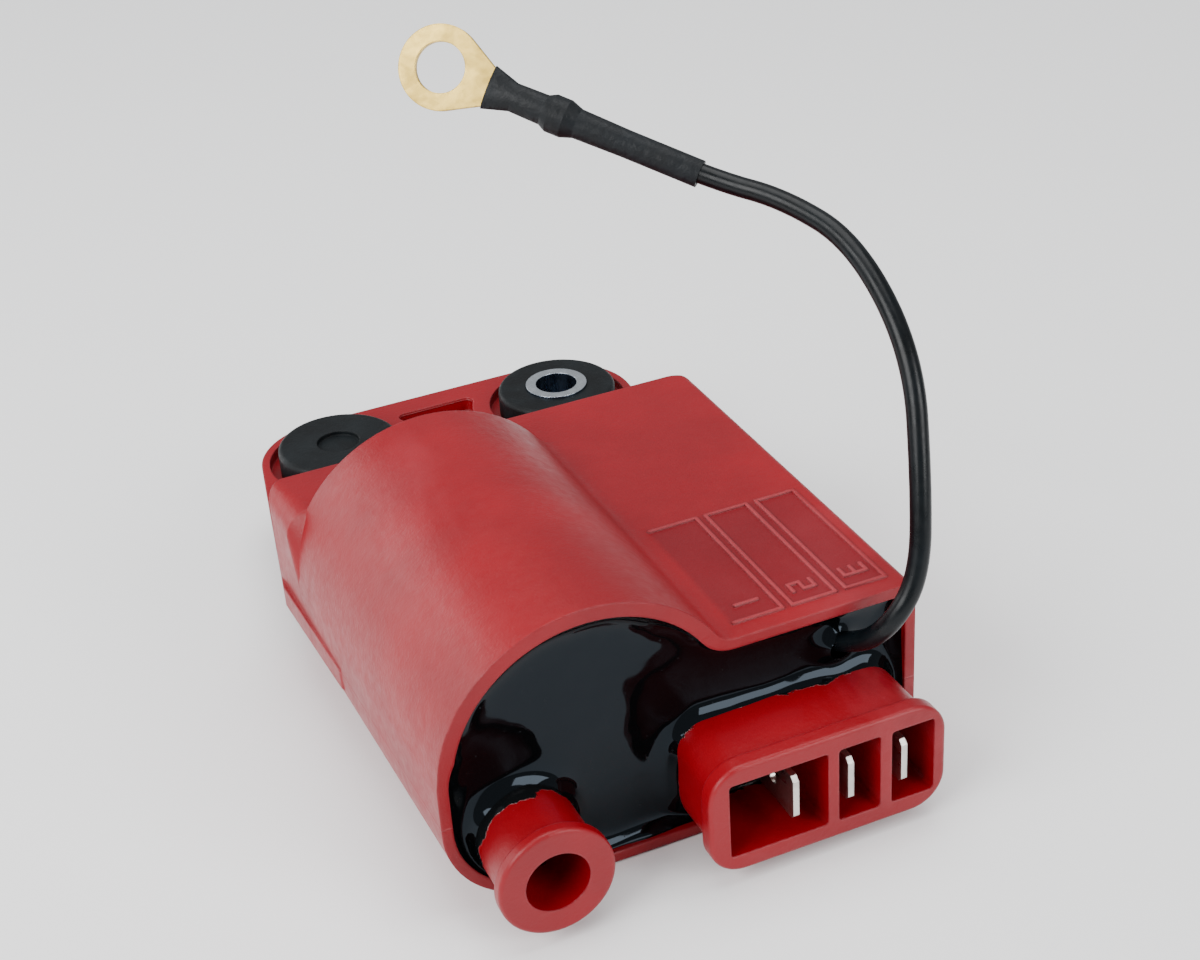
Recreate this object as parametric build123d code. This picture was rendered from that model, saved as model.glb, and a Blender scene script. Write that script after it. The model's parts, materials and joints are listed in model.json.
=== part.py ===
from build123d import *
from math import radians, tan
import os

# Small-engine CDI ignition unit with its high-tension coil potted in the same red housing.
# Working axes: X to the right seen from the open mouth, Y from the mouth to the mounting flange,
# Z up.  Working zero: left wall at the mouth (x), mouth plane (y), flat base (z).  Every piece is
# shifted at the end, so that the origin is under the middle of the unit without its earth lead.
# All sizes are in millimetres.

# ---- housing -------------------------------------------------------------------------------
body_width = 62.7
body_depth = 63.4
platform_height = 27.1
wall = 1.4
rear_wall = 1.6
side_lean = 1.0                 # how far the left wall leans out at the rear
base_corner_radius = 12.4
shoulder_radius_mouth = 9.1     # left shoulder, under the coil bulge
shoulder_radius_middle = 10.4
shoulder_radius_shelf = 3.6     # at the end of the bulge, where the shelf begins
shoulder_radius_rear = 2.4
shoulder_change = 2.6           # length over which it narrows ahead of the shelf
right_top_radius = 1.2
right_base_radius = 2.0
rear_corner_radius = 3.0        # plan view
rim_round = 0.5
base_trim = 0.05                # planed off the base, so that it is flat

bulge_mouth_z, bulge_mouth_radius = 18.0, 19.4
bulge_end_z, bulge_end_radius = 16.3, 20.2
bulge_side_gap = 0.1            # bulge inside the line of the left wall
shelf_depth = 9.6               # platform behind the end of the bulge
bulge_wall = 1.9
valley_radius = 3.5             # hollow between the coil bulge and the platform

# ---- mounting flange and grommets -------------------------------------------------------------
mount_pitch = 35.7
mount_left_x = 16.6
mount_y = 88.9
flange_top = 13.6
flange_thickness = 3.0
flange_end_radius = 11.8
counterbore_depth = 1.6
boss_depth = 1.2                # boss under the flange around each grommet
pocket_web = 2.7                # between the pocket and each counterbore
pocket_depth = 2.2
pocket_front_y = 76.0
pocket_rear_margin = 4.1
pocket_round = 1.2
side_web_points = ((36.0, -0.75), (58.0, -1.5))   # y and x of the flange's edge along the left wall
side_web_round = 1.0

grommet_lip_radius = 9.1
grommet_neck_radius = 6.6
grommet_lower_radius = 8.6
grommet_stand_out = 2.5         # top lip above the flange
grommet_lower_lip = 2.8
grommet_round = 0.8
grommet_side_gap = 1.5          # lip to counterbore wall
neck_gap = 0.05
sleeve_outer_radius = 4.75
sleeve_bore_radius = 3.2
sleeve_stand_out = 0.3
dimple_radius = 3.2
dimple_depth = 0.7

# ---- moulded label frames with plain numerals ----------------------------------------------------
label_frames = ((39.2, 46.2), (47.1, 53.4), (54.4, 60.3))
label_front_y, label_rear_y = 2.6, 26.4
label_line = 0.45
label_height = 0.25
numeral_width, numeral_height = 2.0, 3.4
numeral_y = 6.0

# ---- resin, tower and connector -----------------------------------------------------------------
resin_recess = 2.3

tower_x, tower_z = 10.2, 8.8
tower_radius = 6.3
tower_bore_radius = 4.0
tower_flange_radius = 7.25
tower_flange_thickness = 1.6
tower_front_y = -9.6
tower_root_y = 11.0
tower_bore_floor = 2.2
contact_radius = 1.1
contact_recess = 0.3
contact_head_radius = 2.4
contact_head_thickness = 1.2

plug_x, plug_z = 45.0, 9.4
plug_front_y = -10.3
plug_root_y = 5.0
plug_lip_width, plug_lip_height, plug_lip_radius = 31.8, 15.3, 4.6
plug_body_width, plug_body_height, plug_body_radius = 29.6, 13.9, 3.8
plug_lip_thickness = 2.2
chamber_height = 10.6
chambers = ((-13.3, -0.2), (1.2, 6.9), (8.4, 14.3))   # left and right walls, from the middle
chamber_floor_y = 1.0
chamber_round = 0.5

blade_thickness = 0.8
blade_width = 6.3
blade_tip_recess = 0.3
blade_chamfer = 0.65
blade_places = (-4.4, 2.8 + 0.2, 10.3)                # from the middle of the connector
blade_hole_radius = 0.95
blade_hole_from_tip = 5.2
blade_tail_width = 2.4
blade_tail_overlap = 4.0

# ---- potted electronics ----------------------------------------------------------------------------
board_thickness = 1.6
board_top = 7.0
board_front_y, board_rear_y = 8.0, 58.0
board_left_x, board_right_x = 39.0, 59.5

coil_x, coil_z = 20.5, 15.6
coil_front_y, coil_rear_y = 14.0, 49.5
core_side = 8.0
lamination_count = 10
core_overhang = 1.5
primary_barrel_radius = 6.9
primary_flange_radius = 9.2
primary_flange = 1.0
primary_winding_radius = 8.6
secondary_barrel_inner = 9.4
secondary_barrel_outer = 10.4
secondary_flange_radius = 13.2
secondary_winding_radius = 12.4
secondary_partition = 1.0
secondary_chambers = 6
link_radius = 0.5
link_rise = 6.0                 # primary links above the board
link_clear = 1.9                # primary links beyond the ends of the coil
lead_reach = 1.2                # wires of the small parts beyond their bodies
lead_radius = 0.4

capacitor_size = (17.0, 16.0, 13.0)
capacitor_y = 37.5
capacitor_round = 0.8
thyristor_size = (9.2, 8.6, 4.4)
thyristor_tab_length, thyristor_tab_thickness = 1.6, 1.3
thyristor_y = 52.2
diode_radius, diode_length = 1.35, 5.2
resistor_radius, resistor_length = 1.2, 6.5
small_part_rows = (15.0, 19.0, 23.0, 27.0)
diode_x, resistor_x = 44.2, 54.2

# ---- earth lead --------------------------------------------------------------------------------------
lead_diameter = 2.6
# Route of the earth lead: from inside the resin, out over the connector and up behind the platform.
lead_route = (
    (51.6, 5.4, 19.5),
    (53.6, -1.1, 21.4),
    (56.0, -5.5, 26.2),
    (60.0, -5.2, 31.9),
    (61.9, -2.0, 42.1),
    (64.8, 4.8, 55.2),
    (64.5, 17.6, 64.6),
    (60.6, 28.2, 67.3),
    (55.2, 35.8, 68.2),
    (48.6, 41.8, 71.4),
)
bend_share = 0.45                # share of the shorter run beside it that each bend takes up
sleeving_overlap = 7.4          # lead inside the sleeving
sleeving_length = 28.8
# Sleeving sections: place along it, half width, half height.
sleeving_sections = (
    (0.0, 1.75, 1.68),
    (10.0, 1.75, 1.68),
    (16.6, 1.9, 1.8),
    (18.2, 2.45, 2.3),
    (20.2, 2.45, 2.2),
    (21.2, 1.95, 1.7),
    (25.4, 1.85, 1.3),
    (28.8, 2.85, 1.0),
)
barrel_radius = 1.35
crimp_radius = 1.55
crimp_front, crimp_rear = 17.6, 20.8
tongue_width = 3.0
tongue_root_width = 4.0
tongue_root_length = 1.0        # wide part of the tongue inside the mouth of the sleeving
earth_tab_radius = 0.9
earth_tab_run = 4.2
eyelet_from_sleeving = 6.6
eyelet_outer_radius = 5.4
eyelet_bore_radius = 3.2
eyelet_thickness = 0.9
eyelet_facing = (-0.49, -0.76, 0.42)    # roughly the way the flat of the eyelet looks

# ---- derived -------------------------------------------------------------------------------------------
bulge_end_y = body_depth - shelf_depth
bulge_mouth_x = bulge_mouth_radius + bulge_side_gap
bulge_end_x = bulge_end_radius + bulge_side_gap - side_lean * bulge_end_y / body_depth
mount_right_x = mount_left_x + mount_pitch
mounts_x = (mount_left_x, mount_right_x)
counterbore_radius = grommet_lip_radius + grommet_side_gap
web_top = flange_top - counterbore_depth
web_bottom = flange_top - flange_thickness - boss_depth
grommet_top = flange_top + grommet_stand_out
grommet_bottom = web_bottom - grommet_lower_lip
boss_radius = counterbore_radius - 0.7
flange_rear_y = mount_y + flange_end_radius
unit_left = min(-side_lean, *[x for _, x in side_web_points])
bore_end_y = tower_root_y - tower_bore_floor
unit_right = max(body_width, mount_right_x + flange_end_radius)
unit_front = min(plug_front_y, tower_front_y)
unit_rear = flange_rear_y
x_mid = (unit_left + unit_right) / 2
y_mid = (unit_front + unit_rear) / 2


def at_y(y):
    """Plane across the unit at a given y; its local x, y are the unit's X, Z."""
    return Plane.XZ.offset(-y)


def rod(x, z, radius, y_low, y_high):
    """Round bar along Y."""
    return extrude(at_y(y_high) * Pos(x, z) * Circle(radius), y_high - y_low)


def ring(x, z, outer, inner, y_low, y_high):
    """Tube along Y."""
    return rod(x, z, outer, y_low, y_high) - rod(x, z, inner, y_low, y_high)


def post(x, y, radius, z_low, z_high):
    """Round bar along Z."""
    return Pos(x, y, z_low) * extrude(Circle(radius), z_high - z_low)


def block(x_low, x_high, y_low, y_high, z_low, z_high):
    size = (x_high - x_low, y_high - y_low, z_high - z_low)
    middle = ((x_low + x_high) / 2, (y_low + y_high) / 2, (z_low + z_high) / 2)
    return Pos(*middle) * Box(*size)


def box_section(y, shoulder_radius, inset):
    """Rounded section of the box part of the housing, drawn in by the inset."""
    low, high = inset - base_trim, platform_height - inset
    left, right = inset - side_lean * y / body_depth, body_width - inset
    corners = {
        (left, low): base_corner_radius - inset,
        (left, high): shoulder_radius - inset,
        (right, high): max(right_top_radius - inset, 0.4),
        (right, low): max(right_base_radius - inset, 0.4),
    }
    outline = Polygon(*corners, align=None)
    for corner, radius in corners.items():
        vertex = outline.vertices().sort_by_distance((*corner, 0))[0]
        outline = fillet(vertex, radius)
    return at_y(y) * outline


def body_form(inset, bulge_inset, end_inset):
    """Outer form of the housing, or its hollow when inset: the box and the coil bulge on it."""
    shoulders = (
        (0, shoulder_radius_mouth), (bulge_end_y - shoulder_change, shoulder_radius_middle),
        (bulge_end_y, shoulder_radius_shelf), (body_depth, shoulder_radius_rear),
    )
    box = loft([box_section(y, radius, inset) for y, radius in shoulders], ruled=True)
    bulge = loft([
        at_y(0) * Pos(bulge_mouth_x, bulge_mouth_z) * Circle(bulge_mouth_radius - bulge_inset),
        at_y(bulge_end_y - end_inset) * Pos(bulge_end_x, bulge_end_z)
        * Circle(bulge_end_radius - bulge_inset),
    ], ruled=True)
    above = block(-body_width, body_width, 0, body_depth, base_corner_radius, 3 * platform_height)
    form = box + (bulge & above)
    valley = form.edges().filter_by(
        lambda edge: bulge_mouth_x < edge.center().X < body_width - 2 * valley_radius
        and abs(edge.center().Z - (platform_height - inset)) < 0.05
        and edge.bounding_box().size.Y > shoulder_change / 2
    )
    form = fillet(valley, valley_radius + inset)
    plan = Polygon(
        (inset - side_lean, -1), (body_width - inset, -1),
        (body_width - inset, body_depth - end_inset), (inset - side_lean, body_depth - end_inset),
        align=None,
    )
    rear_corners = plan.vertices().filter_by(lambda vertex: vertex.Y > 0)
    plan = fillet(rear_corners, rear_corner_radius - inset / 2)
    return form & Pos(0, 0, inset) * extrude(plan, 3 * platform_height)


def hollow_form():
    return body_form(wall, bulge_wall, rear_wall)


def flange():
    """Mounting plate behind the body, with a boss and a counterbore for each grommet."""
    outline = Sketch() + [Pos(x, mount_y) * Circle(flange_end_radius) for x in mounts_x]
    outline += [Pos(x + side_web_round, y) * Circle(side_web_round) for y, x in side_web_points]
    outline += Pos(body_width / 2, body_depth) * Rectangle(body_width, rear_wall)
    plate = extrude(make_hull(outline.edges()), flange_thickness)
    plate = Pos(0, 0, flange_top - flange_thickness) * plate
    for x in mounts_x:
        plate += post(x, mount_y, boss_radius, web_bottom, web_top)
    for x in mounts_x:
        plate -= post(x, mount_y, counterbore_radius, web_top, flange_top)
        plate -= post(x, mount_y, grommet_neck_radius + neck_gap, web_bottom, web_top)
    pocket = block(mount_left_x, mount_right_x, pocket_front_y, flange_rear_y - pocket_rear_margin,
                   flange_top - pocket_depth, flange_top)
    for x in mounts_x:
        pocket -= post(x, mount_y, counterbore_radius + pocket_web, 0, flange_top)
    return plate - fillet(pocket.edges().filter_by(Axis.Z), pocket_round)


def bar(x_low, x_high, y_low, y_high):
    """One raised line of the label, sunk slightly into the platform so that it joins it."""
    return block(x_low, x_high, y_low, y_high, platform_height - wall / 2, platform_height + label_height)


def numeral(digit, x, y):
    """A plain numeral built of straight strokes, centred on x, y, its top towards the right wall."""
    half_w, half_h, line = numeral_width / 2, numeral_height / 2, label_line
    strokes = {
        "top": (-half_w, half_w, half_h - line, half_h),
        "middle": (-half_w, half_w, -line / 2, line / 2),
        "bottom": (-half_w, half_w, -half_h, -half_h + line),
        "upper_left": (-half_w, -half_w + line, 0, half_h),
        "upper_right": (half_w - line, half_w, 0, half_h),
        "lower_left": (-half_w, -half_w + line, -half_h, 0),
        "lower_right": (half_w - line, half_w, -half_h, 0),
        "stem": (-line / 2, line / 2, -half_h, half_h),
    }
    used = {
        1: ("stem",),
        2: ("top", "upper_right", "middle", "lower_left", "bottom"),
        3: ("top", "upper_right", "middle", "lower_right", "bottom"),
    }
    pieces = []
    for name in used[digit]:
        u_low, u_high, v_low, v_high = strokes[name]
        pieces.append(bar(x + v_low, x + v_high, y - u_high, y - u_low))
    return pieces


def label():
    """Three raised frames side by side on the platform, each with a plain numeral.

    The first is open on its left, where the platform turns up into the bulge."""
    pieces = []
    for digit, (left, right) in enumerate(label_frames, start=1):
        pieces.append(bar(left, right, label_front_y, label_front_y + label_line))
        pieces.append(bar(left, right, label_rear_y - label_line, label_rear_y))
        pieces.append(bar(right - label_line, right, label_front_y, label_rear_y))
        pieces += numeral(digit, (left + right) / 2, numeral_y)
    for left, _ in label_frames[1:]:
        pieces.append(bar(left, left + label_line, label_front_y, label_rear_y))
    return pieces


def housing():
    shell = body_form(0, 0, 0) + flange() - hollow_form()
    for piece in label():
        shell += piece
    return shell


def tower():
    """High-tension tower: flanged tube with a blind bore for the spark lead."""
    tube = rod(tower_x, tower_z, tower_radius, tower_front_y, tower_root_y)
    lip_end = tower_front_y + tower_flange_thickness
    tube += rod(tower_x, tower_z, tower_flange_radius, tower_front_y, lip_end)
    front = tube.faces().sort_by(Axis.Y)[0]
    tube = fillet(front.edges(), rim_round)
    tube -= tower_bore()
    return tube - rod(tower_x, tower_z, contact_radius, bore_end_y, tower_root_y)


def tower_bore():
    return rod(tower_x, tower_z, tower_bore_radius, tower_front_y, bore_end_y)


def ht_contact():
    """Brass stud through the floor of the tower's bore; the end of the spark lead's core meets it."""
    head_end = tower_root_y + contact_head_thickness
    shank = rod(tower_x, tower_z, contact_radius, bore_end_y + contact_recess, tower_root_y)
    return shank + rod(tower_x, tower_z, contact_head_radius, tower_root_y, head_end)


def plug_section(width, height, radius, y):
    return at_y(y) * Pos(plug_x, plug_z) * RectangleRounded(width, height, radius)


def blade_x(place):
    return plug_x + place


def blade(place):
    """Flat tab standing on edge, with a chamfered tip, a detent hole and a narrow soldered tail."""
    tip = plug_front_y + blade_tip_recess
    root = plug_root_y
    half = blade_width / 2
    tail_low = board_top
    tail_end = board_front_y + blade_tail_overlap
    outline = Polygon(
        (tip, plug_z - half + blade_chamfer), (tip + blade_chamfer, plug_z - half),
        (root, plug_z - half), (root, tail_low), (tail_end, tail_low),
        (tail_end, tail_low + blade_tail_width), (root, tail_low + blade_tail_width),
        (root, plug_z + half), (tip + blade_chamfer, plug_z + half),
        (tip, plug_z + half - blade_chamfer), align=None,
    )
    outline -= Pos(tip + blade_hole_from_tip, plug_z) * Circle(blade_hole_radius)
    side = Plane.YZ.offset(blade_x(place) - blade_thickness / 2)
    return extrude(side * outline, blade_thickness)


def connector_shell():
    """Shell with a flared lip and three chambers, open to the front; the tabs pass through its floor."""
    shell = extrude(plug_section(plug_body_width, plug_body_height, plug_body_radius, plug_root_y),
                    plug_root_y - plug_front_y)
    shell += extrude(
        plug_section(plug_lip_width, plug_lip_height, plug_lip_radius,
                     plug_front_y + plug_lip_thickness), plug_lip_thickness)
    front = shell.faces().sort_by(Axis.Y)[0]
    shell = fillet(front.edges(), rim_round)
    for left, right in chambers:
        hollow = block(
            plug_x + left, plug_x + right, plug_front_y, chamber_floor_y,
            plug_z - chamber_height / 2, plug_z + chamber_height / 2,
        )
        shell -= fillet(hollow.edges().filter_by(Axis.Y), chamber_round)
    return shell


def core_stack():
    """Laminations side by side, through the primary bobbin."""
    thickness = core_side / lamination_count
    low = coil_x - core_side / 2
    return [
        block(low + i * thickness, low + (i + 1) * thickness,
              coil_front_y - core_overhang, coil_rear_y + core_overhang,
              coil_z - core_side / 2, coil_z + core_side / 2)
        for i in range(lamination_count)
    ]


def core_hole():
    return block(coil_x - core_side / 2, coil_x + core_side / 2, coil_front_y, coil_rear_y,
                 coil_z - core_side / 2, coil_z + core_side / 2)


def primary_bobbin():
    bobbin = rod(coil_x, coil_z, primary_barrel_radius, coil_front_y, coil_rear_y)
    bobbin += rod(coil_x, coil_z, primary_flange_radius, coil_front_y, coil_front_y + primary_flange)
    bobbin += rod(coil_x, coil_z, primary_flange_radius, coil_rear_y - primary_flange, coil_rear_y)
    return bobbin - core_hole()


def primary_winding():
    return ring(coil_x, coil_z, primary_winding_radius, primary_barrel_radius,
                coil_front_y + primary_flange, coil_rear_y - primary_flange)


def chamber_edges():
    """Front and rear of each chamber of the secondary bobbin."""
    pitch = (coil_rear_y - coil_front_y - secondary_partition) / secondary_chambers
    starts = [coil_front_y + secondary_partition + i * pitch for i in range(secondary_chambers)]
    return [(start, start + pitch - secondary_partition) for start in starts]


def secondary_bobbin():
    bobbin = ring(coil_x, coil_z, secondary_flange_radius, secondary_barrel_inner,
                  coil_front_y, coil_rear_y)
    for low, high in chamber_edges():
        bobbin -= ring(coil_x, coil_z, secondary_flange_radius + 1, secondary_barrel_outer, low, high)
    return bobbin


def secondary_winding():
    return [ring(coil_x, coil_z, secondary_winding_radius, secondary_barrel_outer, low, high)
            for low, high in chamber_edges()]


def bent_wire(points, radius):
    """Short stiff link wire with straight legs."""
    path = Polyline(*points)
    start = Plane(origin=points[0], z_dir=path % 0)
    return sweep(start * Circle(radius), path=path, transition=Transition.RIGHT)


def ht_link_points():
    """Route of the link wire from the head of the contact to the first secondary chamber."""
    head_y = tower_root_y + contact_head_thickness
    cross_y = (head_y + coil_front_y) / 2
    low = coil_z - secondary_winding_radius + 2 * link_radius
    return [(tower_x, head_y, tower_z), (tower_x, cross_y, tower_z),
            (coil_x - core_side / 4, cross_y, low),
            (coil_x - core_side / 4, coil_front_y + secondary_partition, low)]


def ht_link():
    return bent_wire(ht_link_points(), link_radius)


def primary_link_route(y, coil_end_y, foot_y):
    """From the board, up over the winding space and back to one end of the primary winding."""
    post_x = board_left_x + 3 * link_radius
    post_z = board_top + link_rise
    joint_x = coil_x + (primary_barrel_radius + primary_winding_radius) / 2
    return [(post_x, foot_y, board_top), (post_x, foot_y, post_z), (post_x, y, post_z),
            (joint_x, y, coil_z), (joint_x, coil_end_y, coil_z)]


def coil_link_routes():
    front_y = coil_front_y - link_clear
    rear_y = coil_rear_y + link_clear
    return [
        primary_link_route(front_y, coil_front_y + primary_flange, front_y + 2 * link_clear),
        primary_link_route(rear_y, coil_rear_y - primary_flange, board_rear_y - 2 * link_clear),
    ]


def coil_links():
    return [bent_wire(route, link_radius) for route in coil_link_routes()]


def board():
    return block(board_left_x, board_right_x, board_front_y, board_rear_y,
                 board_top - board_thickness, board_top)


def board_middle_x():
    return (board_left_x + board_right_x) / 2


def capacitor():
    width, length, height = capacitor_size
    case = block(board_middle_x() - width / 2, board_middle_x() + width / 2,
                 capacitor_y - length / 2, capacitor_y + length / 2, board_top, board_top + height)
    return fillet(case.edges().filter_by(Axis.Z), capacitor_round)


def thyristor():
    """Three-legged switch lying flat, its metal tab towards the rear and its legs bent to the board."""
    width, length, height = thyristor_size
    middle = board_middle_x()
    low_y, high_y = thyristor_y - length / 2, thyristor_y + length / 2
    body = block(middle - width / 2, middle + width / 2, low_y, high_y, board_top, board_top + height)
    body += block(middle - width / 2, middle + width / 2, high_y, high_y + thyristor_tab_length,
                  board_top, board_top + thyristor_tab_thickness)
    for step in (-1, 0, 1):
        x = middle + step * width / 4
        body += bent_wire([(x, low_y, board_top + height / 2),
                           (x, low_y - lead_reach, board_top + height / 2),
                           (x, low_y - lead_reach, board_top)], lead_radius)
    return body


def axial_part(x, y, radius, length):
    """Small round component lying along X, with its wires bent down to the board."""
    height = board_top + radius
    body = Pos(x - length / 2, y, height) * Rot(0, 90, 0) * extrude(Circle(radius), length)
    reach = length / 2 + lead_reach
    body += bent_wire([(x - reach, y, board_top), (x - reach, y, height),
                       (x + reach, y, height), (x + reach, y, board_top)], lead_radius)
    return body


def diodes():
    return [axial_part(diode_x, y, diode_radius, diode_length) for y in small_part_rows]


def resistors():
    return [axial_part(resistor_x, y, resistor_radius, resistor_length) for y in small_part_rows]


def lead_path():
    """Centre line of the earth lead: straight runs joined by tangent arcs."""
    points = [Vector(*point) for point in lead_route]
    radii = []
    for before, corner, after in zip(points, points[1:], points[2:]):
        turn = (corner - before).get_angle(after - corner)
        shorter = min((corner - before).length, (after - corner).length)
        radii.append(bend_share * shorter / tan(radians(turn) / 2))
    print("lead bend radii", [round(radius, 1) for radius in radii])
    return FilletPolyline(*points, radius=radii)


def earth_lead():
    path = lead_path()
    section = Plane(origin=path @ 0, z_dir=path % 0) * Circle(lead_diameter / 2)
    return sweep(section, path=path)


def earth_tab():
    """Stiff wire from the board to the joint with the lead, in line with the lead's first run."""
    start, after = Vector(*lead_route[0]), Vector(*lead_route[1])
    run = (start - after).normalized()
    foot = start + run * earth_tab_run
    return bent_wire([tuple(start), tuple(foot), (foot.X, foot.Y, board_top)], earth_tab_radius)


def sleeving_frame():
    """Local frame of the straight end: z along the sleeving, x across the flat of the eyelet."""
    inner, end = Vector(*lead_route[-2]), Vector(*lead_route[-1])
    along = (end - inner).normalized()
    facing = Vector(*eyelet_facing)
    across = along.cross(facing).normalized()
    return Plane(origin=end - along * sleeving_overlap, x_dir=across, z_dir=along)


def along_sleeving(frame, radius, low, high):
    return frame.offset(low) * extrude(Circle(radius), high - low)


def terminal():
    """Crimped barrel, tongue and eyelet, made in the frame of the sleeving."""
    frame = sleeving_frame()
    piece = along_sleeving(frame, barrel_radius, sleeving_overlap, crimp_front)
    piece += along_sleeving(frame, crimp_radius, crimp_front, crimp_rear)
    centre = sleeving_length + eyelet_from_sleeving
    flat = Plane(origin=frame.origin, x_dir=frame.z_dir, z_dir=frame.z_dir.cross(frame.x_dir))
    root = Pos(sleeving_length - tongue_root_length / 2, 0)
    root *= Rectangle(tongue_root_length, tongue_root_width)
    eye = Pos(centre, 0) * Circle(eyelet_outer_radius)
    outline = make_hull(root.edges() + eye.edges())
    outline += Pos((crimp_rear + centre) / 2, 0) * Rectangle(centre - crimp_rear, tongue_width)
    outline -= Pos(centre, 0) * Circle(eyelet_bore_radius)
    return piece + flat.offset(-eyelet_thickness / 2) * extrude(outline, eyelet_thickness)


def sleeving(inside):
    """Heat-shrunk sleeving over the end of the lead and the barrel, moulded to their shapes."""
    frame = sleeving_frame()
    form = loft([frame.offset(place) * Ellipse(half_width, half_height)
                 for place, half_width, half_height in sleeving_sections], ruled=True)
    for piece in inside:
        form -= piece
    return form


def grommet(x):
    """Rubber grommet set in the flange from above, with a lip below it."""
    body = post(x, mount_y, grommet_lip_radius, web_top, grommet_top)
    body += post(x, mount_y, grommet_neck_radius, web_bottom, web_top)
    body += post(x, mount_y, grommet_lower_radius, grommet_bottom, web_bottom)
    rims = body.edges().group_by(Axis.Z)[-1] + body.edges().group_by(Axis.Z)[0]
    return fillet(rims, grommet_round)


def sleeve_form(radius):
    return post(mount_right_x, mount_y, radius, grommet_bottom, grommet_top + sleeve_stand_out)


def resin(inside):
    """Everything in the hollow behind the resin's front that is not another piece."""
    fill = hollow_form() & block(-wall, body_width, resin_recess, body_depth, 0, 3 * platform_height)
    for piece in inside:
        fill -= piece
    return fill


def one(pieces):
    """Several solids kept as one node."""
    return Compound(pieces) if isinstance(pieces, list) else pieces


blades = [blade(place) for place in blade_places]
shell = connector_shell()
for tab in blades:
    shell -= tab

link_hole = rod(coil_x - core_side / 4, ht_link_points()[2][2], link_radius,
                coil_front_y, coil_front_y + secondary_partition)
eyelet = terminal()
lead = earth_lead()
core = core_stack()
link_wires = coil_links()
bobbin = primary_bobbin()
for wire in link_wires:
    bobbin -= wire

nodes = {
    "housing": housing(),
    "connector_shell": shell,
    "terminal_blade_1": blades[0],
    "terminal_blade_2": blades[1],
    "terminal_blade_3": blades[2],
    "ht_tower": tower(),
    "ht_contact": ht_contact(),
    "core_laminations": core,
    "primary_bobbin": bobbin,
    "primary_winding": primary_winding(),
    "secondary_bobbin": secondary_bobbin() - link_hole,
    "secondary_winding": secondary_winding(),
    "ht_link_wire": ht_link(),
    "primary_link_wires": link_wires,
    "circuit_board": board(),
    "storage_capacitor": capacitor(),
    "thyristor": thyristor(),
    "diodes": diodes(),
    "resistors": resistors(),
    "earth_tab": earth_tab(),
    "earth_lead": lead,
    "heat_shrink_sleeve": sleeving([lead, eyelet]),
    "ring_terminal": eyelet,
    "grommet_left": grommet(mount_left_x)
    - post(mount_left_x, mount_y, dimple_radius, grommet_top - dimple_depth, grommet_top),
    "grommet_right": grommet(mount_right_x) - sleeve_form(sleeve_outer_radius),
    "mounting_sleeve": sleeve_form(sleeve_outer_radius) - sleeve_form(sleeve_bore_radius),
}

outside = ("housing", "heat_shrink_sleeve", "ring_terminal", "grommet_left", "grommet_right",
           "mounting_sleeve")
potted = []
for name, node in nodes.items():
    if name not in outside:
        potted += node if isinstance(node, list) else [node]
bore_air = tower_bore() + rod(tower_x, tower_z, contact_radius, bore_end_y, bore_end_y + contact_recess)
nodes["potting_resin"] = resin(potted + [bore_air])

os.makedirs("parts", exist_ok=True)
for name, node in nodes.items():
    export_step(Pos(-x_mid, -y_mid, 0) * one(node), f"parts/{name}.step")
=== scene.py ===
import bmesh
import bpy
import json
import math
import numpy as np
from mathutils import Matrix, Vector, noise


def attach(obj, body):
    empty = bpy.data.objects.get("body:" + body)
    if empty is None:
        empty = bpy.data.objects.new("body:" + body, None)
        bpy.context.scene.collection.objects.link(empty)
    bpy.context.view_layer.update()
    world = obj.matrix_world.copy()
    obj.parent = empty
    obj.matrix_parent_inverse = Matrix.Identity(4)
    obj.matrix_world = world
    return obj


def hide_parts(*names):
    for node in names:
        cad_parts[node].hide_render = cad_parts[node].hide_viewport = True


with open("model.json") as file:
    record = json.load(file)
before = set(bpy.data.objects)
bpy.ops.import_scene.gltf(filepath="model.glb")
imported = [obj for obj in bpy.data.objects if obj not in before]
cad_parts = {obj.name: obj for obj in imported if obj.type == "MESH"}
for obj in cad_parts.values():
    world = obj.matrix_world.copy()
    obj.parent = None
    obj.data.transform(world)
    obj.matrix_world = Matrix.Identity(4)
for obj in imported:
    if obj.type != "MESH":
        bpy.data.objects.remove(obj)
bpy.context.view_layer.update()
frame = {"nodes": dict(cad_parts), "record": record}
nodes = frame["nodes"]
MM = 0.001


# ---- camera: the view of the photograph, in the row frame ----------------------------------------
CAMERA_AT = (-0.08176, -0.22592, 0.16791)
CAMERA_AZIMUTH, CAMERA_ELEVATION, CAMERA_ROLL = -22.007, 30.4525, -4.027
CAMERA_LENS = 62.68


def set_camera():
    azimuth, elevation, roll = map(math.radians, (CAMERA_AZIMUTH, CAMERA_ELEVATION, CAMERA_ROLL))
    back = Vector((
        math.sin(azimuth) * math.cos(elevation),
        -math.cos(azimuth) * math.cos(elevation),
        math.sin(elevation),
    ))
    right = (-back).cross(Vector((0, 0, 1))).normalized()
    up = right.cross(-back)
    turned_right = math.cos(roll) * right + math.sin(roll) * up
    turned_up = -math.sin(roll) * right + math.cos(roll) * up
    data = bpy.data.cameras.new("camera")
    data.lens = CAMERA_LENS
    data.sensor_width = 36
    data.sensor_fit = "HORIZONTAL"
    data.clip_start = 0.01
    camera = bpy.data.objects.new("camera", data)
    camera.matrix_world = Matrix.Translation(CAMERA_AT) @ Matrix((
        turned_right, turned_up, back)).transposed().to_4x4()
    bpy.context.scene.collection.objects.link(camera)
    bpy.context.scene.camera = camera


set_camera()


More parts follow.
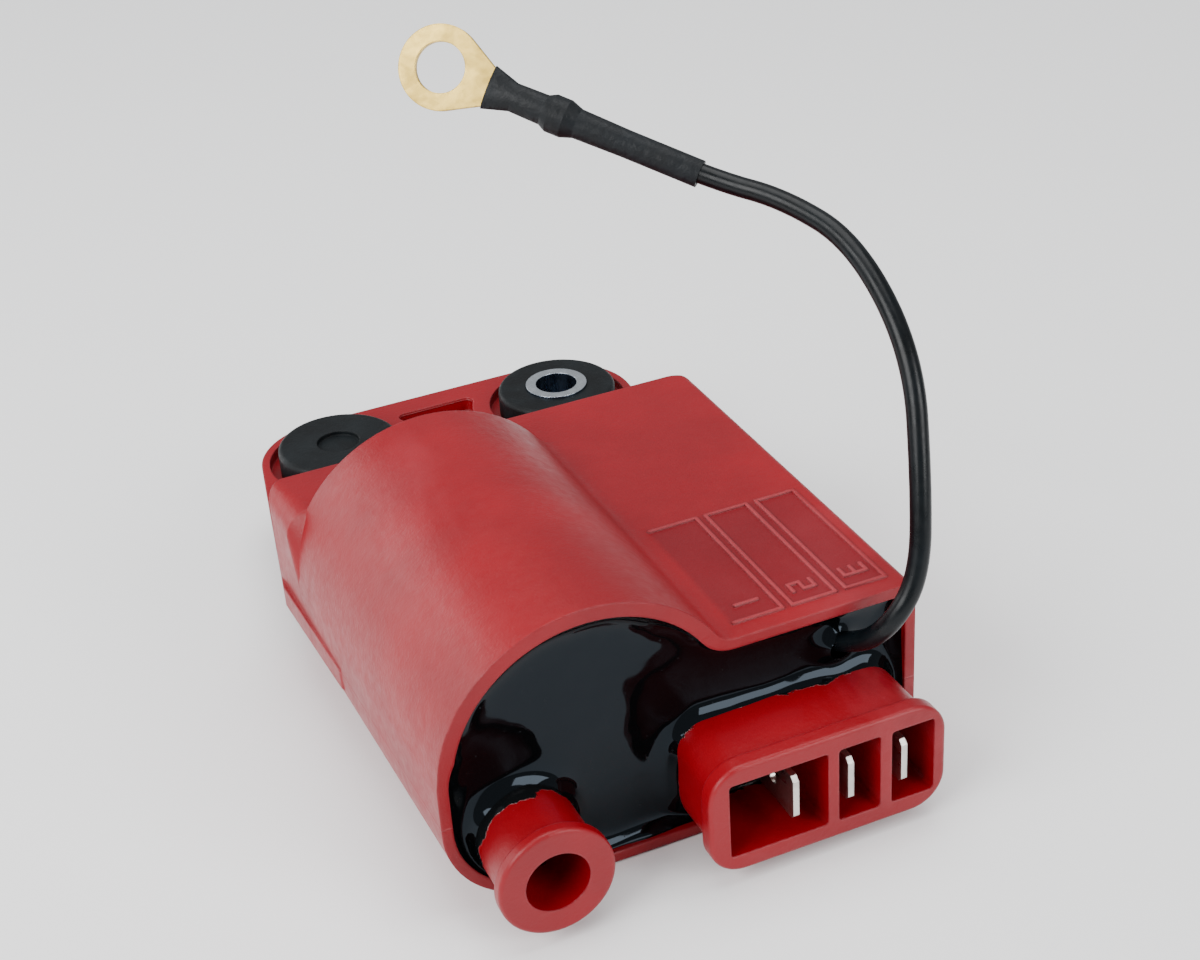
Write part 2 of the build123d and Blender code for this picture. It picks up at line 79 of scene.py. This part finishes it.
# ---- earth lead, along the same route as the CAD ---------------------------------------------------
LEAD_DIAMETER = 0.0026
LEAD_ROUTE = (
    (0.0203, -0.0398, 0.0195),
    (0.0223, -0.0463, 0.0214),
    (0.0247, -0.0507, 0.0262),
    (0.0287, -0.0504, 0.0319),
    (0.0306, -0.0472, 0.0421),
    (0.0335, -0.0404, 0.0552),
    (0.0332, -0.0276, 0.0646),
    (0.0293, -0.0170, 0.0673),
    (0.0239, -0.0094, 0.0682),
    (0.0173, -0.0034, 0.0714),
)
LEAD_STEPS = 16                  # along each span of the curve
LEAD_ROUNDNESS = 8


def lead_mesh(bevel):
    """Mesh of the curve along the route: the tube, or only its centre line when the bevel is 0."""
    data = bpy.data.curves.new("lead_route", "CURVE")
    data.dimensions = "3D"
    spline = data.splines.new("NURBS")
    spline.points.add(len(LEAD_ROUTE) - 1)
    for point, place in zip(spline.points, LEAD_ROUTE):
        point.co = (*place, 1)
    spline.order_u = 3
    spline.use_endpoint_u = True
    spline.resolution_u = LEAD_STEPS
    data.resolution_u = LEAD_STEPS
    data.bevel_depth = bevel
    data.bevel_resolution = LEAD_ROUNDNESS
    data.use_fill_caps = True
    curve = bpy.data.objects.new("lead_route", data)
    bpy.context.scene.collection.objects.link(curve)
    mesh = bpy.data.meshes.new_from_object(curve.evaluated_get(bpy.context.evaluated_depsgraph_get()))
    bpy.data.objects.remove(curve)
    return mesh


lead = bpy.data.objects.new("earth_lead_cable", lead_mesh(LEAD_DIAMETER / 2))
bpy.context.scene.collection.objects.link(lead)
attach(lead, "root")
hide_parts("earth_lead")
[vertex.co for vertex in lead_mesh(0).vertices]


# ---- materials ---------------------------------------------------------------------------------------
class Nodes:
    """Short hand for building one node material."""

    def __init__(self, name):
        self.material = bpy.data.materials.new(name)
        self.material.use_nodes = True
        self.tree = self.material.node_tree
        self.shader = self.tree.nodes["Principled BSDF"]
        self.coordinates = self.tree.nodes.new("ShaderNodeTexCoord").outputs["Object"]

    def add(self, kind, **inputs):
        node = self.tree.nodes.new(kind)
        for key, value in inputs.items():
            self.put(node, key.replace("_", " "), value)
        return node

    def put(self, node, key, value):
        socket = node.inputs[key]
        if isinstance(value, bpy.types.NodeSocket):
            self.tree.links.new(value, socket)
        else:
            socket.default_value = value

    def noise(self, scale, detail=4.0, roughness=0.55, distortion=0.0, stretch=None):
        source = self.coordinates
        if stretch:
            mapping = self.add("ShaderNodeMapping", Vector=source)
            mapping.inputs["Scale"].default_value = stretch
            source = mapping.outputs["Vector"]
        node = self.add("ShaderNodeTexNoise", Vector=source, Scale=scale, Detail=detail,
                        Roughness=roughness, Distortion=distortion)
        return node.outputs["Fac"]

    def remap(self, value, low, high, to_low, to_high):
        node = self.add("ShaderNodeMapRange", Value=value)
        node.inputs["From Min"].default_value = low
        node.inputs["From Max"].default_value = high
        node.inputs["To Min"].default_value = to_low
        node.inputs["To Max"].default_value = to_high
        return node.outputs["Result"]

    def maths(self, operation, a, b=None):
        node = self.tree.nodes.new("ShaderNodeMath")
        node.operation = operation
        for key, value in enumerate((a, b)):
            if value is not None:
                self.put(node, key, value)
        return node.outputs["Value"]

    def mix(self, factor, first, second):
        """Mix of two colours; the colour sockets of this node are numbers 6, 7 and 2."""
        node = self.tree.nodes.new("ShaderNodeMix")
        node.data_type = "RGBA"
        for key, value in ((0, factor), (6, first), (7, second)):
            self.put(node, key, value)
        return node.outputs[2]

    def bump(self, height, distance, strength=1.0, normal=None):
        node = self.add("ShaderNodeBump", Height=height, Distance=distance, Strength=strength)
        if normal is not None:
            self.tree.links.new(normal, node.inputs["Normal"])
        return node.outputs["Normal"]

    def rounded(self, radius):
        """Normals that round off sharp edges over the radius."""
        return self.add("ShaderNodeBevel", Radius=radius).outputs["Normal"]

    def edges(self, radius):
        """About 1 on sharp outer and inner edges, 0 on flat areas."""
        rounded = self.rounded(radius)
        geometry = self.tree.nodes.new("ShaderNodeNewGeometry").outputs["Normal"]
        dot = self.tree.nodes.new("ShaderNodeVectorMath")
        dot.operation = "DOT_PRODUCT"
        self.tree.links.new(rounded, dot.inputs[0])
        self.tree.links.new(geometry, dot.inputs[1])
        return self.remap(dot.outputs["Value"], 1.0, 0.8, 0.0, 1.0)

    def finish(self, **inputs):
        for key, value in inputs.items():
            self.put(self.shader, key.replace("_", " "), value)
        return self.material


SHEEN_SPOTS = 0.06               # added roughness of the dull patches
PARTING_RIDGE = (0.00003, 0.00014)   # half widths of the ridge, at its top and at its foot
# Painted shade of the label panel: width of its soft sides, and the share of red it keeps.
PAINTED_SHADE_FADE = 0.0008
PAINTED_SHADE_OF_RED = 0.62
SMEAR_RAGGEDNESS = 0.0011
SMEAR_EDGE = 0.0002
RESIN_BLACK = (0.004, 0.0045, 0.005, 1)


def with_parting_line(n, place, parting_z, base, light, normal):
    """Colour and normal with a mould parting line: a low, slightly paler ridge at one height."""
    off = n.maths("ABSOLUTE", n.maths("SUBTRACT", place["Z"], parting_z))
    ridge = n.remap(off, *PARTING_RIDGE, 1, 0)
    normal = n.bump(ridge, 0.00012, 0.7, normal)
    return n.mix(n.maths("MULTIPLY", ridge, 0.25), base, (*light, 1)), normal


def with_painted_panel_shade(n, place, panel, base, dark, light):
    """Colour with painted shade, deeper within a panel on the top, and painted highlights that make its
    raised lines paler.
    """
    low_x, high_x, low_y, high_y, top_z = panel
    sides = (n.remap(place["X"], low_x, low_x + PAINTED_SHADE_FADE, 0, 1),
             n.remap(place["X"], high_x - PAINTED_SHADE_FADE, high_x, 1, 0),
             n.remap(place["Y"], low_y, low_y + PAINTED_SHADE_FADE, 0, 1),
             n.remap(place["Y"], high_y - PAINTED_SHADE_FADE, high_y, 1, 0),
             n.remap(place["Z"], top_z - 0.0001, top_z, 0, 0.55))
    within = sides[0]
    for side in sides[1:]:
        within = n.maths("MULTIPLY", within, side)
    raised = n.remap(place["Z"], top_z + 0.00015, top_z + 0.0003, 0, 1)
    # Raised lines within the panel, painted as highlights.
    lines = n.maths("MULTIPLY", within, raised)
    red, green, blue = dark
    # Painted shade: the panel's red made deeper.
    painted_shade = (PAINTED_SHADE_OF_RED * red, green, blue, 1)
    base = n.mix(n.maths("SUBTRACT", within, lines), base, painted_shade)
    return n.mix(n.maths("MULTIPLY", lines, 0.6), base, (*light, 1))


def with_smeared_resin(n, place, from_y, base, roughness, normal):
    """Colour, roughness and normal with black resin smeared on behind a ragged line."""
    ragged = n.remap(n.noise(230, 4, 0.55), 0.3, 0.7, -SMEAR_RAGGEDNESS, SMEAR_RAGGEDNESS)
    coat = n.remap(n.maths("ADD", place["Y"], ragged), from_y, from_y + SMEAR_EDGE, 0, 1)
    base = n.mix(coat, base, RESIN_BLACK)
    rough = n.remap(coat, 0, 1, roughness, 0.06)
    return base, rough, n.bump(coat, 0.00015, 0.8, normal)


def plastic(name, color, dark, light, roughness, grain, edge_radius,
            parting_z=None, coated_from_y=None, panel=None):
    """Moulded plastic: grain, slight flow mottling, fine dust and pale edges, partly wear and partly a
    painted highlight.

    It may have a mould parting line at a height, black resin smeared on it behind a given y, and a
    panel of painted shade on its top, whose raised lines get painted highlights: low x, high x, low y,
    high y and the height of the top."""
    n = Nodes(name)
    broad = n.noise(60, 3)
    flow = n.noise(35, 5, 0.6, 0.6, stretch=(1, 0.25, 1))
    fine = n.noise(2600, 3, 0.6)
    coarse = n.noise(700, 4, 0.6)
    base = n.mix(n.remap(broad, 0.35, 0.65, 0, 1), (*dark, 1), (*color, 1))
    base = n.mix(n.remap(flow, 0.55, 0.75, 0, 0.35), base, (*light, 1))
    dust = n.maths("MULTIPLY", n.remap(n.noise(2100, 2, 0.7), 0.68, 0.76, 0, 1),
                   n.remap(n.noise(180, 3), 0.45, 0.65, 0, 0.35))
    base = n.mix(dust, base, (*light, 1))
    # Pale edges: partly real wear, partly a painted highlight along the sharp edges.
    worn = n.maths("MULTIPLY", n.edges(edge_radius), n.remap(n.noise(500, 4), 0.4, 0.62, 0.15, 0.75))
    base = n.mix(n.maths("MULTIPLY", worn, 0.6), base, (*light, 1))
    rough = n.maths("ADD", n.remap(coarse, 0.3, 0.7, roughness - 0.05, roughness + 0.07),
                    n.remap(n.noise(90, 4), 0.4, 0.7, 0, SHEEN_SPOTS))
    height = n.maths("ADD", n.maths("MULTIPLY", fine, 0.6), coarse)
    normal = n.bump(height, grain, 0.5, n.rounded(edge_radius))
    place = n.add("ShaderNodeSeparateXYZ", Vector=n.coordinates).outputs
    if parting_z is not None:
        base, normal = with_parting_line(n, place, parting_z, base, light, normal)
    # Painted shade over the label panel, with painted highlights on its raised lines.
    if panel is not None:
        base = with_painted_panel_shade(n, place, panel, base, dark, light)
    if coated_from_y is not None:
        base, rough, normal = with_smeared_resin(n, place, coated_from_y, base, roughness, normal)
    return n.finish(Base_Color=base, Roughness=rough, Normal=normal, IOR=1.40)


def resin_material():
    n = Nodes("cast_resin")
    swirl = n.noise(45, 5, 0.5, 1.2)
    specks = n.remap(n.noise(1500, 2, 0.6), 0.7, 0.76, 0, 1)
    base = n.mix(swirl, (0.0008, 0.001, 0.0012, 1), (0.002, 0.0026, 0.003, 1))
    base = n.mix(n.maths("MULTIPLY", specks, 0.1), base, (0.05, 0.05, 0.045, 1))
    rough = n.maths("ADD", n.remap(n.noise(120, 4), 0.35, 0.7, 0.03, 0.09),
                    n.maths("MULTIPLY", specks, 0.3))
    normal = n.bump(n.noise(90, 2, 0.4), 0.0006, 0.35)
    return n.finish(Base_Color=base, Roughness=rough, Normal=normal, IOR=1.27,
                    Specular_Tint=(0.72, 0.9, 1.1, 1))


def rubber_material():
    n = Nodes("mount_rubber")
    bloom = n.noise(160, 4, 0.6)
    base = n.mix(n.remap(bloom, 0.4, 0.7, 0, 1), (0.0015, 0.0022, 0.0028, 1), (0.005, 0.0075, 0.009, 1))
    scuffs = n.remap(n.noise(900, 3, 0.7), 0.66, 0.75, 0, 0.25)
    base = n.mix(scuffs, base, (0.05, 0.055, 0.06, 1))
    rough = n.remap(n.noise(600, 4), 0.3, 0.7, 0.40, 0.58)
    normal = n.bump(n.noise(1400, 4, 0.65), 0.00012, 0.6, n.rounded(0.0004))
    return n.finish(Base_Color=base, Roughness=rough, Normal=normal, IOR=1.28)


# Colour of the painted shade on the upright walls of bores.
BORE_PAINTED_SHADE = (0.13, 0.17, 0.23, 1)


def metal(name, color, dark, roughness, brushed=(1, 1, 1), tarnish=0.5, painted_shade_on_walls=False):
    """Plain metal with fine streaks and tarnish; the upright walls of a bore may get painted shade, a
    dark bluish colour.
    """
    n = Nodes(name)
    streaks = n.noise(900, 5, 0.6, 0, stretch=brushed)
    patches = n.remap(n.noise(260, 4, 0.6, 0.5), 0.42, 0.68, 0, tarnish)
    base = n.mix(patches, (*color, 1), (*dark, 1))
    rough = n.maths("ADD", n.remap(streaks, 0.3, 0.7, roughness - 0.06, roughness + 0.1),
                    n.maths("MULTIPLY", patches, 0.2))
    normal = n.bump(streaks, 0.00004, 0.4, n.rounded(0.0002))
    # Painted shade: upright walls get a dark bluish colour, while flat faces keep the metal's colour.
    if painted_shade_on_walls:
        facing = n.tree.nodes.new("ShaderNodeNewGeometry").outputs["Normal"]
        upward = n.add("ShaderNodeSeparateXYZ", Vector=facing).outputs["Z"]
        base = n.mix(n.remap(upward, 0.3, 0.8, 0, 1), BORE_PAINTED_SHADE, base)
    return n.finish(Base_Color=base, Roughness=rough, Normal=normal, Metallic=1.0)


INSULATION_WEAR = 2.2            # how much paler the worn places are


def insulation_material(name, color, roughness, ripple, ior):
    """Black cable or sleeving, with slow changes of shade and a fine uneven surface."""
    n = Nodes(name)
    worn = [INSULATION_WEAR * channel for channel in color]
    base = n.mix(n.remap(n.noise(220, 4), 0.35, 0.7, 0, 1), (*color, 1), (*worn, 1))
    rough = n.remap(n.noise(800, 3), 0.3, 0.7, roughness - 0.06, roughness + 0.08)
    normal = n.bump(n.noise(700, 4, 0.6, 0.3), ripple, 0.6)
    return n.finish(Base_Color=base, Roughness=rough, Normal=normal, IOR=ior)


RED, DEEP_RED, PALE_RED = (0.235, 0.0006, 0.0058), (0.19, 0.0004, 0.0045), (0.42, 0.06, 0.075)
# The red moulding has painted shade over the label panel and painted highlights on its raised lines.
red_plastic = plastic("red_moulding", RED, DEEP_RED, PALE_RED, 0.36, 0.00012, 0.0004, parting_z=0.0132,
                      panel=(0.0076, 0.0292, -0.0430, -0.0184, 0.0270))
connector_red = plastic("connector_moulding", RED, DEEP_RED, PALE_RED, 0.34, 0.0001, 0.0004,
                        coated_from_y=-0.0448)
tower_red = plastic("tower_moulding", RED, DEEP_RED, PALE_RED, 0.34, 0.0001, 0.0004,
                    coated_from_y=-0.0462)
resin = resin_material()
rubber = rubber_material()
tinned = metal("tinned_tabs", (0.66, 0.63, 0.60), (0.36, 0.33, 0.30), 0.28, (1, 0.15, 1))
# The plated sleeve has painted shade on the walls of its bore.
sleeve_metal = metal("plated_sleeve", (0.62, 0.66, 0.70), (0.35, 0.37, 0.39), 0.24, (1, 1, 0.1), 0.4,
                     painted_shade_on_walls=True)
brass = metal("eyelet_brass", (0.60, 0.42, 0.11), (0.40, 0.27, 0.06), 0.34, (0.3, 1, 1), 0.6)
copper = metal("winding_copper", (0.62, 0.27, 0.12), (0.4, 0.15, 0.07), 0.35)
steel = metal("core_steel", (0.32, 0.32, 0.33), (0.12, 0.11, 0.10), 0.4)
pvc = insulation_material("lead_pvc", (0.0010, 0.0018, 0.0024), 0.30, 0.00003, 1.30)
shrink = insulation_material("shrunk_sleeving", (0.0016, 0.0026, 0.0036), 0.5, 0.0003, 1.32)
laminate = plastic("board_laminate", (0.2, 0.26, 0.08), (0.15, 0.2, 0.06), (0.3, 0.36, 0.2),
                   0.5, 0.0001, 0.0002)
cream = plastic("bobbin_cream", (0.55, 0.5, 0.38), (0.5, 0.45, 0.33), (0.65, 0.6, 0.5),
                0.5, 0.0001, 0.0002)
dark_case = plastic("component_case", (0.03, 0.03, 0.03), (0.02, 0.02, 0.02), (0.08, 0.08, 0.08),
                    0.5, 0.0001, 0.0002)

FINISHES = {
    "red_plastic": red_plastic, "potting_resin": resin, "grommet_rubber": rubber,
    "tinned_brass": tinned, "tinned_wire": tinned, "plated_steel": sleeve_metal, "brass": brass,
    "terminal_brass": brass, "core_steel": steel, "copper_wire": copper, "sleeving": shrink,
    "lead_insulation": pvc, "board_laminate": laminate, "bobbin_plastic": cream,
    "capacitor_case": cream, "component_black": dark_case, "resistor_body": cream,
}

OWN_FINISHES = {"connector_shell": connector_red, "ht_tower": tower_red}

for part in frame["record"]["subparts"]:
    node = nodes[part["node"]]
    node.data.materials.clear()
    node.data.materials.append(OWN_FINISHES.get(part["node"], FINISHES[part["material_slot"]]))
lead.data.materials.append(pvc)


# ---- resin surface: it creeps up the walls, the tower, the connector and the lead -------------------
def front_outline(node):
    """Edges round the flat front of a node, as an array of x, z pairs, and the y of that front."""
    copy = bmesh.new()
    copy.from_mesh(node.data)
    copy.transform(node.matrix_world)
    bmesh.ops.remove_doubles(copy, verts=copy.verts, dist=1e-6)
    front = min(vertex.co.y for vertex in copy.verts)
    faces = {face for face in copy.faces if all(abs(v.co.y - front) < 2e-6 for v in face.verts)}
    edges = [edge for edge in copy.edges if sum(face in faces for face in edge.link_faces) == 1]
    pairs = np.array([[(v.co.x, v.co.z) for v in edge.verts] for edge in edges])
    copy.free()
    return pairs, front


def inside(points, edges):
    """True for each point within the outline."""
    x, z = points[:, None, 0], points[:, None, 1]
    x1, z1 = edges[None, :, 0, 0], edges[None, :, 0, 1]
    x2, z2 = edges[None, :, 1, 0], edges[None, :, 1, 1]
    spans = (z1 > z) != (z2 > z)
    crossing = x1 + (z - z1) * (x2 - x1) / np.where(spans, z2 - z1, 1)
    return (spans & (x < crossing)).sum(axis=1) % 2 == 1


def nearest(points, edges):
    """Closest point of the outline and its distance, for each point."""
    start, run = edges[None, :, 0], edges[None, :, 1] - edges[None, :, 0]
    along = ((points[:, None] - start) * run).sum(axis=2) / np.maximum((run ** 2).sum(axis=2), 1e-18)
    place = start + np.clip(along, 0, 1)[..., None] * run
    distance = np.linalg.norm(points[:, None] - place, axis=2)
    best = distance.argmin(axis=1)
    rows = np.arange(len(points))
    return place[rows, best], distance[rows, best]


RESIN_PITCH = 0.35 * MM
CREEP_HEIGHT, CREEP_REACH = 1.55 * MM, 1.15 * MM
CREEP_LIMIT = 2.15 * MM
SKIN_LIFT = 0.03 * MM
SKIN_FILM = 0.08 * MM
WAVE_HEIGHT, RIPPLE_HEIGHT = 0.05 * MM, 0.02 * MM
SEAM_REACH = 1.2                 # grid steps past the outline that are drawn in to it


def unevenness(x, z, layer, scale):
    return noise.noise(Vector((x, z, layer)) * scale)


def skin_height(x, z, distance):
    """Height of the resin over its flat front at a place this far from the nearest wall."""
    swell = 1 + 0.45 * unevenness(x, z, 0.3, 130)
    reach = CREEP_REACH * (1 + 0.3 * unevenness(x, z, 4.1, 90))
    rise = CREEP_HEIGHT * swell * math.exp(-distance / reach)
    waves = WAVE_HEIGHT * unevenness(x, z, 2.0, 140)
    waves += RIPPLE_HEIGHT * unevenness(x, z, 7.0, 420)
    return min(rise + waves + SKIN_FILM, CREEP_LIMIT)


def resin_surface():
    """Thin wavy skin in front of the flat face, higher where it meets what stands in it."""
    edges, front = front_outline(nodes["potting_resin"])
    low, high = edges.min(axis=(0, 1)), edges.max(axis=(0, 1))
    columns, rows = np.ceil((high - low) / RESIN_PITCH).astype(int) + 3
    across = low[0] + (np.arange(columns) - 1) * RESIN_PITCH
    upward = low[1] + (np.arange(rows) - 1) * RESIN_PITCH
    points = np.stack(np.meshgrid(across, upward, indexing="ij"), axis=-1).reshape(-1, 2)
    within = inside(points, edges)
    place, distance = nearest(points, edges)
    used = within | (distance < SEAM_REACH * RESIN_PITCH)
    points = np.where(within[:, None], points, place)
    distance = np.where(within, distance, 0)

    built = bmesh.new()
    made = {}
    for index in np.flatnonzero(used):
        x, z = map(float, points[index])
        made[index] = built.verts.new((x, front - SKIN_LIFT - skin_height(x, z, distance[index]), z))
    for column in range(columns - 1):
        for row in range(rows - 1):
            a = column * rows + row
            corners = (a, a + rows, a + rows + 1, a + 1)
            if all(corner in made for corner in corners) and any(within[corner] for corner in corners):
                built.faces.new([made[corner] for corner in corners])
    loose = [vertex for vertex in built.verts if not vertex.link_faces]
    bmesh.ops.delete(built, geom=loose, context="VERTS")
    mesh = bpy.data.meshes.new("resin_surface")
    built.to_mesh(mesh)
    built.free()
    for polygon in mesh.polygons:
        polygon.use_smooth = True
    surface = bpy.data.objects.new("resin_surface", mesh)
    bpy.context.scene.collection.objects.link(surface)
    surface.data.materials.append(resin)
    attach(surface, "root")


resin_surface()


# ---- studio --------------------------------------------------------------------------------------------
FLOOR_SIZE, FLOOR_DROP = 6, 0.0002
LIGHTS_AIM = (0, 0, 0.02)
LIGHTS = (                       # name, place, width, height, power
    ("key_left", (-0.55, -0.18, 0.42), 0.5, 0.4, 6),
    ("back_left", (-0.50, 0.62, 0.26), 0.7, 0.4, 2.2),
    ("top", (0.05, 0.10, 0.75), 0.6, 0.6, 5),
    ("front_right", (0.35, -0.60, 0.35), 0.35, 0.35, 3.5),
)


def area_light(name, at, width, height, power):
    data = bpy.data.lights.new(name, "AREA")
    data.shape = "RECTANGLE"
    data.size = width
    data.size_y = height
    data.energy = power
    light = bpy.data.objects.new(name, data)
    light.location = at
    light.rotation_euler = (Vector(LIGHTS_AIM) - Vector(at)).to_track_quat("-Z", "Y").to_euler()
    bpy.context.scene.collection.objects.link(light)


def studio():
    bpy.ops.mesh.primitive_plane_add(size=FLOOR_SIZE, location=(0, 0, -FLOOR_DROP))
    floor = bpy.context.object
    floor.name = "floor"
    n = Nodes("pale_floor")
    base = n.mix(n.noise(8, 3), (0.86, 0.86, 0.86, 1), (0.9, 0.9, 0.9, 1))
    floor.data.materials.append(n.finish(Base_Color=base, Roughness=0.6))

    world = bpy.data.worlds.new("studio")
    world.use_nodes = True
    background = world.node_tree.nodes["Background"].inputs
    background["Color"].default_value = (0.95, 0.97, 1.0, 1)
    background["Strength"].default_value = 0.5
    bpy.context.scene.world = world
    for light in LIGHTS:
        area_light(*light)


studio()
